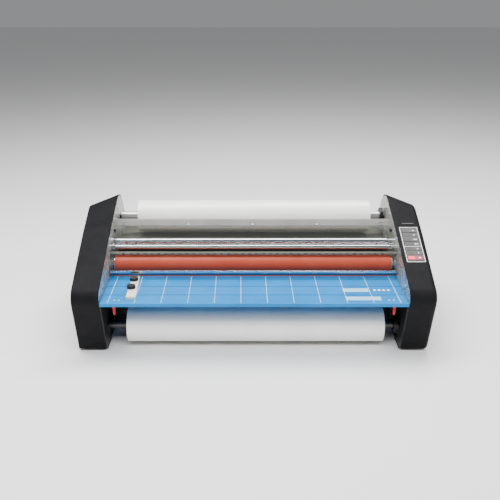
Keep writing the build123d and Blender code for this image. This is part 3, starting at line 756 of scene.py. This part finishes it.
@dataclass
class Shield:
    """The clear bent shield and the lip along its lower edge.

    Attributes:
        lip_height: Height of the bright strip and the dark band of painted tray reflection and
            shade below it together.
        lip_depth: How far the lip reaches back from its front face.
        lip_proud: How far the lip stands in front of the shield.
        lip_drop: How far the lip hangs below the shield.
        end_gap: Bare length of shield past each end of the lip.
    """

    machine: Machine
    lip_height: float = 13.5 * MM
    lip_depth: float = 6.0 * MM
    lip_proud: float = 0.8 * MM
    lip_drop: float = 0.5 * MM
    end_gap: float = 2.0 * MM

    def build(self) -> None:
        """Dresses the shield and clips the strip, and below it a band painted as the tray's
        reflection and shade, to its lower edge.
        """
        self.machine.dress(Paint.ACRYLIC, "shield")
        low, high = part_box("shield")
        near = Vector((low.x + self.end_gap, low.y - self.lip_proud, low.z - self.lip_drop))
        far = Vector((high.x - self.end_gap, near.y + self.lip_depth, near.z + self.lip_height))
        split = near.z + 0.5 * self.lip_height
        strip = Bench.block("shield_lip_strip", Vector((near.x, near.y, split)), far)
        Bench.sink_face(strip, Vector((0, -1, 0)), margin=1.6 * MM, depth=0.5 * MM)
        Bench.round_off(strip, 0.4 * MM, 2)
        self.machine.keep(strip, "shield", Paint.ALUMINIUM)
        # The lower half of the lip is painted dark blue-grey as the tray's reflection and shade on
        # the aluminium strip.
        reflection_band = Bench.block("shield_lip_painted_reflection", near, Vector((far.x, far.y, split)))
        Bench.round_off(reflection_band, 1.2 * MM, 3)
        self.machine.keep(reflection_band, "shield", Paint.SEAL)


@dataclass(frozen=True)
class Label:
    """A blank printed label: the place of its middle on the tray, and its width."""

    x: float
    y: float
    width: float


@dataclass
class Tray:
    """The blue feed tray with its printing, and what rides on it.

    Attributes:
        groove_places: Each groove's middle, measured back from the tray's front edge.
        groove_gap: Length of bare tray that the grid leaves across a groove.
        groove_shade_floor: Depth of the groove's floor, where the dark strip of painted groove
            shade lies.
        mark_start: X of the first of the small marks beside the upper label.
        speck_places: |X| of the specks in each front corner.
    """

    machine: Machine
    line_pitch: float = 66.7 * MM
    line_count: int = 12
    line_width: float = 0.9 * MM
    line_ink: float = 0.06 * MM
    front_margin: float = 4 * MM
    rear_margin: float = 2 * MM
    groove_places: tuple[float, float] = (53 * MM, 108 * MM)
    groove_gap: float = 4 * MM
    groove_shade_width: float = 2.6 * MM
    groove_shade_floor: float = 1.0 * MM
    groove_shade_thickness: float = 0.1 * MM
    groove_shade_end_gap: float = 1 * MM
    label_places: tuple[Label, ...] = (
        Label(265 * MM, -179 * MM, 65 * MM),
        Label(277 * MM, -232 * MM, 88 * MM),
    )
    label_height: float = 20 * MM
    label_line: float = 1.0 * MM
    rule_height: float = 1.3 * MM
    rule_pitch: float = 4.5 * MM
    rule_margin: float = 7 * MM
    mark_start: float = 314 * MM
    mark_pitch: float = 12 * MM
    mark_count: int = 4
    mark_size: tuple[float, float] = (7 * MM, 9 * MM)
    speck_places: tuple[float, float] = (340.5 * MM, 351.5 * MM)
    speck_y: float = -242.5 * MM
    speck_size: tuple[float, float] = (4 * MM, 3 * MM)

    def build(self) -> None:
        """Dresses the tray and what rides on it, and prints on the tray."""
        self.machine.dress(Paint.BLUE, "feed_tray")
        self.machine.dress(Paint.IVORY, "side_guide")
        self.machine.dress(Paint.BLACK, "front_guide_knob", "rear_guide_knob")
        self.machine.dress(Paint.RED, "left_release_tab", "right_release_tab")
        low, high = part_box("feed_tray")
        self.grid(low, high)
        self.groove_shade_strips(low, high)
        self.labels(high.z)

    def groove_shade_strips(self, low: Vector, high: Vector) -> None:
        """Paints the floor of the two grooves dark, as painted shade in the grooves."""
        floor = high.z - self.groove_shade_floor
        groove_shade_strips = []
        for place in self.groove_places:
            middle = low.y + place
            near = Vector((low.x + self.groove_shade_end_gap, middle - self.groove_shade_width / 2, floor))
            far = Vector((high.x - self.groove_shade_end_gap, middle + self.groove_shade_width / 2, floor))
            far.z += self.groove_shade_thickness
            groove_shade_strips.append(Bench.block("inlay", near, far))
        self.machine.keep(Bench.join("tray_groove_painted_shade", groove_shade_strips), "tray", Paint.INLAY)

    def grid(self, low: Vector, high: Vector) -> None:
        """Prints the lines that run from front to back, broken where the grooves cross."""
        stops = [low.y + self.front_margin]
        for place in self.groove_places:
            stops += [low.y + place - self.groove_gap / 2, low.y + place + self.groove_gap / 2]
        stops.append(high.y - self.rear_margin)
        strips = []
        for line in range(self.line_count):
            x = (line - (self.line_count - 1) / 2) * self.line_pitch
            for near, far in zip(stops[::2], stops[1::2]):
                corner = Vector((x - self.line_width / 2, near, high.z))
                reach = Vector((x + self.line_width / 2, far, high.z + self.line_ink))
                strips.append(Bench.block("line", corner, reach))
        self.machine.keep(Bench.join("tray_grid_print", strips), "tray", Paint.INK_PALE)

    def labels(self, top: float) -> None:
        """Prints the two blank labels, the row of small marks and the corner specks."""
        outlines, fields, rules = [], [], []
        for label in self.label_places:
            size = (label.width, self.label_height)
            outline = Bench.frame("outline", size, self.label_line, 0.12 * MM)
            outlines.append(Bench.place(outline, Matrix.Translation((label.x, label.y, 0))))
            inside = tuple(length - 2 * self.label_line for length in size)
            fields.append(Bench.plate("field", inside, (label.x, label.y), 0.05 * MM))
            rule = (label.width - 2 * self.rule_margin, self.rule_height)
            for row in (-1, 0, 1):
                spot = (label.x, label.y + row * self.rule_pitch)
                rules.append(Bench.plate("rule", rule, spot, 0.09 * MM))
        for mark in range(self.mark_count):
            spot = (self.mark_start + mark * self.mark_pitch, self.label_places[0].y)
            outlines.append(Bench.plate("mark", self.mark_size, spot, 0.1 * MM, 3 * MM))
        for side in (-1, 1):
            for x in self.speck_places:
                spot = (side * x, self.speck_y)
                outlines.append(Bench.plate("speck", self.speck_size, spot, 0.1 * MM, 1 * MM))
        lift = Matrix.Translation((0, 0, top))
        for name, parts, paint in (
            ("tray_label_outlines", outlines, Paint.INK_WHITE),
            ("tray_label_fields", fields, Paint.INK_FIELD),
            ("tray_label_rules", rules, Paint.INK_BLUE),
        ):
            self.machine.keep(Bench.place(Bench.join(name, parts), lift), "tray", paint)


class Legend(Enum):
    """Each key's printed mark: how many, how many corners each has, and which way it points."""

    HEAT_UP = (1, 3, 90)
    HEAT_DOWN = (1, 3, -90)
    SPEED_UP = (2, 3, 90)
    SPEED_DOWN = (2, 3, -90)
    RUN = (1, 3, 0)
    REVERSE = (1, 3, 180)
    STOP = (1, 8, 22.5)


@dataclass
class Keypad:
    """The control panel on the right housing.

    Attributes:
        slope: The panel's tilt from level.
        mark_shift: How far a key's mark sits to the right of the key's middle.
        window_shift: How far a key's window sits to the left of it.
        name_place: The blank name strip's middle, from the middle of the control plate.
    """

    machine: Machine
    slope: float = math.radians(22.7125)
    ink: float = 0.12 * MM
    mark_size: float = 2.9 * MM
    mark_shift: float = 11.0 * MM
    window_shift: float = 10.0 * MM
    window: tuple[float, float] = (17 * MM, 11 * MM)
    row_pitch: float = 17.8 * MM
    outline: tuple[float, float] = (48.4 * MM, 136 * MM)
    outline_line: float = 1.3 * MM
    wide_divider: tuple[float, float] = (46 * MM, 1.8 * MM)
    thin_divider: tuple[float, float] = (44 * MM, 0.7 * MM)
    name_size: tuple[float, float] = (32 * MM, 5 * MM)
    name_place: tuple[float, float, float] = (2 * MM, 84 * MM, -0.4 * MM)

    def build(self) -> None:
        """Dresses the plate and the keys, and prints on both."""
        self.machine.dress(Paint.BLACK, "control_plate")
        for legend in Legend:
            key = legend.name.lower()
            paint = Paint.KEY_RED if legend is Legend.STOP else Paint.KEY
            self.machine.dress(paint, f"{key}_key")
            self.legend(key, legend)
        self.plate_print()
        self.name_strip()

    def face(self, node: str) -> Matrix:
        """Gives the frame that lies on the middle of a node's top face, on the slope."""
        normal = Vector((0, -math.sin(self.slope), math.cos(self.slope)))
        along = Vector((0, math.cos(self.slope), math.sin(self.slope)))
        points = [vertex.co for vertex in self.machine.nodes[node].data.vertices]
        top = max(point.dot(normal) for point in points)
        flat = [point for point in points if point.dot(normal) > top - 0.1 * MM]
        x = (min(point.x for point in flat) + max(point.x for point in flat)) / 2
        run = [point.dot(along) for point in flat]
        middle = Vector((x, 0, 0)) + along * (min(run) + max(run)) / 2 + normal * top
        return Bench.facing(middle, Vector((1, 0, 0)), along)

    def legend(self, key: str, legend: Legend) -> None:
        """Prints one key's window on its left half and its mark on its right half."""
        spot = self.face(f"{key}_key")
        body = f"{key}_key_body"
        centre = (-self.window_shift, 0)
        window = Bench.plate(f"{key}_window", self.window, centre, self.ink, 1 * MM)
        paint = Paint.INK_RED if legend is Legend.STOP else Paint.WINDOW
        self.machine.keep(Bench.place(window, spot), body, paint)
        count, corners, turn = legend.value
        marks = []
        for step in range(count):
            shift = (step - (count - 1) / 2) * 1.7 * self.mark_size
            bpy.ops.object.select_all(action="DESELECT")
            bpy.ops.mesh.primitive_cylinder_add(
                vertices=corners,
                radius=self.mark_size,
                depth=self.ink,
                location=(self.mark_shift + shift, 0, self.ink / 2),
                rotation=(0, 0, math.radians(turn - 90)),
            )
            mark = bpy.context.active_object
            Bench.apply(mark, "BEVEL", width=0.04 * MM, segments=1)
            marks.append(mark)
        mark = Bench.join(f"{key}_mark", marks)
        self.machine.keep(Bench.place(mark, spot), body, Paint.INK_WHITE)

    def divider(self, size: tuple[float, float], row: float) -> bpy.types.Object:
        """Makes one line across the panel, a number of rows above its middle."""
        return Bench.plate("divider", size, (0, row * self.row_pitch), self.ink)

    def plate_print(self) -> None:
        """Prints the outline and the dividers on the control plate."""
        spot = self.face("control_plate")
        outline = Bench.frame("panel_outline", self.outline, self.outline_line, self.ink)
        bright = Bench.join("panel_outline", [outline, self.divider(self.wide_divider, -0.5)])
        self.machine.keep(Bench.place(bright, spot), "frame", Paint.INK_WHITE)
        thin = [self.divider(self.thin_divider, row) for row in (1.5, -1.5, -2.5)]
        grey = Bench.join("panel_dividers", thin)
        self.machine.keep(Bench.place(grey, spot), "frame", Paint.INK_GREY)

    def name_strip(self) -> None:
        """Sets the slim blank name strip above the panel."""
        spot = self.face("control_plate") @ Matrix.Translation(self.name_place)
        strip = Bench.plate("name_strip", self.name_size, (0, 0), 0.7 * MM, 1.5 * MM)
        Bench.sink_face(strip, Vector((0, 0, 1)), margin=0.6 * MM, depth=0.4 * MM)
        self.machine.keep(Bench.place(strip, spot), "frame", Paint.BLACK)


@dataclass
class RailScrews:
    """Cup washers round the rail's screws, and dark crosses in their heads, painted as the shade in
    their cross recesses.

    Attributes:
        height: The screws' height above the rail's lower edge.
        proud: How far the crosses lie in front of the rail, on the screws' heads.
    """

    machine: Machine
    pitch: float = 182 * MM
    count: int = 5
    height: float = 9 * MM
    proud: float = 2 * MM
    washer: float = 4.7 * MM
    rim: float = 0.8 * MM
    cross: tuple[float, float, float] = (3.0 * MM, 0.2 * MM, 0.5 * MM)

    def build(self) -> None:
        """Makes one washer and one cross for each screw."""
        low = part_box("shield_rail")[0]
        height = low.z + self.height
        long, deep, thin = self.cross
        rings, crosses = [], []
        for step in range(self.count):
            x = (step - (self.count - 1) / 2) * self.pitch
            bpy.ops.object.select_all(action="DESELECT")
            bpy.ops.mesh.primitive_torus_add(
                location=(x, low.y, height),
                rotation=(math.pi / 2, 0, 0),
                major_radius=self.washer,
                minor_radius=self.rim,
                major_segments=32,
                minor_segments=8,
            )
            rings.append(bpy.context.active_object)
            for size in ((long, deep, thin), (thin, deep, long)):
                half = Vector(size) / 2
                middle = Vector((x, low.y - self.proud, height))
                crosses.append(Bench.block("cross", middle - half, middle + half))
        ring = Bench.place(Bench.join("rail_cup_washers", rings), Matrix.Identity(4))
        Bench.smooth(ring)
        self.machine.keep(ring, "frame", Paint.WASHER)
        # Dark crosses: painted shade in the screw heads' cross recesses.
        cross = Bench.join("rail_screw_recess_shade", crosses)
        self.machine.keep(cross, "frame", Paint.DARK_STEEL)


@dataclass
class RearWall:
    """Screws and the blank rating plate on the outside of the rear wall.

    Attributes:
        columns: X of each pair of screws.
        foot: Height of the lower row above the wall's foot.
        drop: Depth of the upper row below the wall's top.
        rules: Each blank rule's row on the rating plate, and its width.
    """

    machine: Machine
    columns: tuple[float, ...] = (-360 * MM, -180 * MM, 60 * MM, 180 * MM, 360 * MM)
    foot: float = 16 * MM
    drop: float = 9 * MM
    head_radius: float = 3.4 * MM
    head_height: float = 2.0 * MM
    plate_x: float = -270 * MM
    plate_z: float = 75 * MM
    plate_size: tuple[float, float] = (64 * MM, 40 * MM)
    rule_pitch: float = 5 * MM
    rules: tuple[tuple[int, float], ...] = (
        (-2, 50 * MM),
        (-1, 38 * MM),
        (0, 50 * MM),
        (1, 44 * MM),
        (2, 26 * MM),
    )

    def build(self) -> None:
        """Puts up the screws and the plate."""
        low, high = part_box("base_pan")
        self.screws(low.z + self.foot, high.z - self.drop, high.y)
        self.rating_plate(self.wall(self.plate_x, high.y, self.plate_z))

    @staticmethod
    def wall(x: float, y: float, z: float) -> Matrix:
        """Gives the frame that lies on the rear wall and looks backwards."""
        return Bench.facing(Vector((x, y, z)), Vector((-1, 0, 0)), Vector((0, 0, 1)))

    def screws(self, lower: float, upper: float, face: float) -> None:
        """Models one socket-head screw and copies it along the foot and the top of the wall."""
        bpy.ops.object.select_all(action="DESELECT")
        bpy.ops.mesh.primitive_cylinder_add(
            vertices=32,
            radius=self.head_radius,
            depth=self.head_height,
            location=(0, 0, self.head_height / 2),
        )
        head = bpy.context.active_object
        Bench.sink_face(head, Vector((0, 0, 1)), margin=1.6 * MM, depth=0.9 * MM)
        Bench.round_off(head, 0.5 * MM, 2)
        heads = []
        for x in self.columns:
            for z in (lower, upper):
                copy = head.copy()
                copy.data = head.data.copy()
                bpy.context.scene.collection.objects.link(copy)
                heads.append(Bench.place(copy, self.wall(x, face, z)))
        bpy.data.objects.remove(head)
        self.machine.keep(Bench.join("rear_wall_screws", heads), "frame", Paint.STEEL)

    def rating_plate(self, spot: Matrix) -> None:
        """Fixes the blank rating plate to the wall."""
        plate = Bench.plate("rating_plate", self.plate_size, (0, 0), 0.6 * MM, 3 * MM)
        Bench.sink_face(plate, Vector((0, 0, 1)), margin=2 * MM, depth=0.15 * MM)
        self.machine.keep(Bench.place(plate, spot), "frame", Paint.ALUMINIUM)
        widest = max(width for _, width in self.rules)
        rules = []
        for row, width in self.rules:
            centre = ((width - widest) / 2, row * self.rule_pitch)
            rules.append(Bench.plate("rule", (width, 1.4 * MM), centre, 0.55 * MM))
        piece = Bench.place(Bench.join("rating_plate_rules", rules), spot)
        self.machine.keep(piece, "frame", Paint.INK_GREY)


@dataclass
class Louvres:
    """Two columns of moulded louvres on each housing's outer face.

    Attributes:
        half_width: |X| of the outer face at the very front of the machine.
        flare: How much further out the face is at the very rear.
        length: The machine's length from front to rear.
        middle: Y and Z of the middle of the lowest row.
        sunk: How far the louvres start inside the face.
    """

    machine: Machine
    half_width: float = 457 * MM
    flare: float = 10 * MM
    length: float = 530 * MM
    middle: tuple[float, float] = (30 * MM, 75 * MM)
    sunk: float = 0.3 * MM
    rows: int = 8
    row_pitch: float = 7 * MM
    column_shift: float = 27 * MM
    slat: tuple[float, float] = (44 * MM, 3.2 * MM)

    def build(self) -> None:
        """Raises the louvres on both housings."""
        y, z = self.middle
        lean = math.atan2(self.flare, self.length)
        face = self.half_width + self.flare * (y / self.length + 0.5) - self.sunk
        for side, name in ((-1, "left"), (1, "right")):
            across = Vector((math.sin(lean), side * math.cos(lean), 0))
            slats = []
            for column in (-1, 1):
                for row in range(self.rows):
                    centre = (column * self.column_shift, row * self.row_pitch)
                    slat = Bench.plate("slat", self.slat, centre, 1.5 * MM, 1.4 * MM)
                    Bench.round_off(slat, 0.8 * MM, 2)
                    slats.append(slat)
            spot = Bench.facing(Vector((side * face, y, z)), across, Vector((0, 0, 1)))
            piece = Bench.place(Bench.join(f"{name}_housing_louvres", slats), spot)
            self.machine.keep(piece, "frame", Paint.HOUSING)


def main() -> None:
    """Builds the machine's looks in order and logs how many new pieces were made."""
    logging.basicConfig(level=logging.INFO, format="%(name)s: %(message)s")
    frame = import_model()
    machine = Machine(frame["nodes"])
    parts = (Carcass, Rollers, Shield, Tray, Keypad, RailScrews, RearWall, Louvres)
    for part in [kind(machine) for kind in parts]:
        part.build()
        log.info("%s done", type(part).__name__)
    Studio().build()
    log.info("%d new pieces", len(machine.made))


if __name__ == "__main__":
    main()
